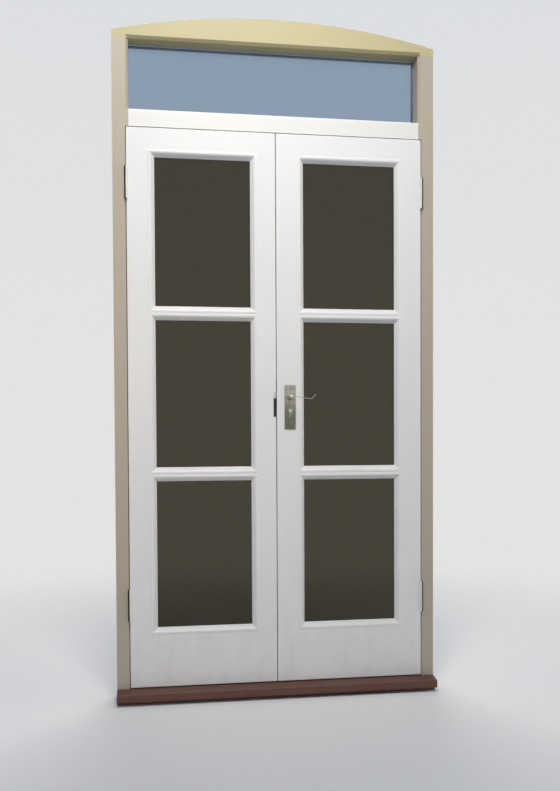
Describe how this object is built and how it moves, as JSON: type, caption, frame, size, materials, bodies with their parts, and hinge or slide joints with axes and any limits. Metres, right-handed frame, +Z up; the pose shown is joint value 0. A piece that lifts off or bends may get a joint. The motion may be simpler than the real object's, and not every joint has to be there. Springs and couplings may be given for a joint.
{
  "type": "french doors",
  "caption": "Outward-opening timber french doors in their own frame: glazed leaves with a lever lock and surface bolts, a transom, a fixed fanlight and an arched head.",
  "frame": {"origin": "middle of the sill's underside, in line with the frame's outer face", "axes": "+X to the right as seen from outside, +Y from outside into the room, +Z up"},
  "size_m": [1.1664, 0.1515, 2.4379],
  "materials": {
    "white_paint": "satin paint over timber, slightly weathered",
    "sill_paint": "dark red-brown satin paint over timber",
    "clear_glass": "clear float glass",
    "spacer_aluminium": "mill finish",
    "seal_rubber": "matt",
    "hinge_steel": "dull, darkened by age",
    "handle_nickel": "satin nickel plate, dulled",
    "cylinder_brass": "satin",
    "lock_steel": "zinc plated"
  },
  "bodies": {
    "frame": {"sill": "sill_paint", "jamb_left": "white_paint", "jamb_right": "white_paint", "transom": "white_paint", "head": "white_paint", "fanlight_glass": "clear_glass", "fanlight_spacer": "spacer_aluminium", "fanlight_beads": "white_paint", "frame_seals": "seal_rubber", "frame_hinge_plates": "hinge_steel", "top_bolt_keep": "lock_steel", "bottom_bolt_keep": "lock_steel"},
    "left_leaf": {"left_hinge_stile": "white_paint", "left_meeting_stile": "white_paint", "left_top_rail": "white_paint", "left_upper_bar": "white_paint", "left_lower_bar": "white_paint", "left_bottom_rail": "white_paint", "left_bottom_glass": "clear_glass", "left_middle_glass": "clear_glass", "left_top_glass": "clear_glass", "left_spacers": "spacer_aluminium", "left_beads": "white_paint", "left_hinge_plates": "hinge_steel", "lock_keep": "lock_steel", "top_bolt_plate": "lock_steel", "bottom_bolt_plate": "lock_steel"},
    "right_leaf": {"right_hinge_stile": "white_paint", "right_meeting_stile": "white_paint", "right_top_rail": "white_paint", "right_upper_bar": "white_paint", "right_lower_bar": "white_paint", "right_bottom_rail": "white_paint", "right_bottom_glass": "clear_glass", "right_middle_glass": "clear_glass", "right_top_glass": "clear_glass", "right_spacers": "spacer_aluminium", "right_beads": "white_paint", "right_hinge_plates": "hinge_steel", "lock_case": "lock_steel", "lock_forend": "lock_steel", "cylinder_body": "cylinder_brass", "outer_backplate": "handle_nickel", "inner_backplate": "handle_nickel", "meeting_seal": "seal_rubber"},
    "lever": {"outer_lever": "handle_nickel", "inner_lever": "handle_nickel", "spindle": "lock_steel", "lock_follower": "lock_steel"},
    "latch": {"latch_bolt": "lock_steel"},
    "cylinder": {"cylinder_plug": "cylinder_brass"},
    "dead_bolt": {"dead_bolt": "lock_steel"},
    "top_bolt": {"top_bolt_rod": "lock_steel"},
    "bottom_bolt": {"bottom_bolt_rod": "lock_steel"}
  },
  "joints": [
    {"name": "right_leaf_swing", "type": "hinge", "parent": "frame", "child": "right_leaf", "pos_m": [0.53675, -0.0065, 1.0455], "axis": [0, 0, 1], "range_deg": [0, 95]},
    {"name": "left_leaf_swing", "type": "hinge", "parent": "frame", "child": "left_leaf", "pos_m": [-0.53675, -0.0065, 1.0455], "axis": [0, 0, -1], "range_deg": [0, 95]},
    {"name": "lever_turn", "type": "hinge", "parent": "right_leaf", "child": "lever", "pos_m": [0.04375, 0, 1.089], "axis": [0, 1, 0], "range_deg": [0, 40], "stiffness_Nm_per_rad": 1, "springref_deg": -20.05},
    {"name": "latch_slide", "type": "slide", "parent": "right_leaf", "child": "latch", "axis": [1, 0, 0], "range_m": [0, 0.01]},
    {"name": "cylinder_turn", "type": "hinge", "parent": "right_leaf", "child": "cylinder", "pos_m": [0.04375, 0, 1.041], "axis": [0, 1, 0], "range_deg": [0, 360]},
    {"name": "deadbolt_slide", "type": "slide", "parent": "right_leaf", "child": "dead_bolt", "axis": [-1, 0, 0], "range_m": [0, 0.014]},
    {"name": "top_bolt_slide", "type": "slide", "parent": "left_leaf", "child": "top_bolt", "axis": [0, 0, 1], "range_m": [0, 0.02]},
    {"name": "bottom_bolt_slide", "type": "slide", "parent": "left_leaf", "child": "bottom_bolt", "axis": [0, 0, -1], "range_m": [0, 0.02]}
  ],
  "couplings": [
    {"joint": "latch_slide", "follows": "lever_turn", "m_per_rad": 0.01432},
    {"joint": "cylinder_turn", "follows": "deadbolt_slide", "rad_per_m": 448.79}
  ]
}
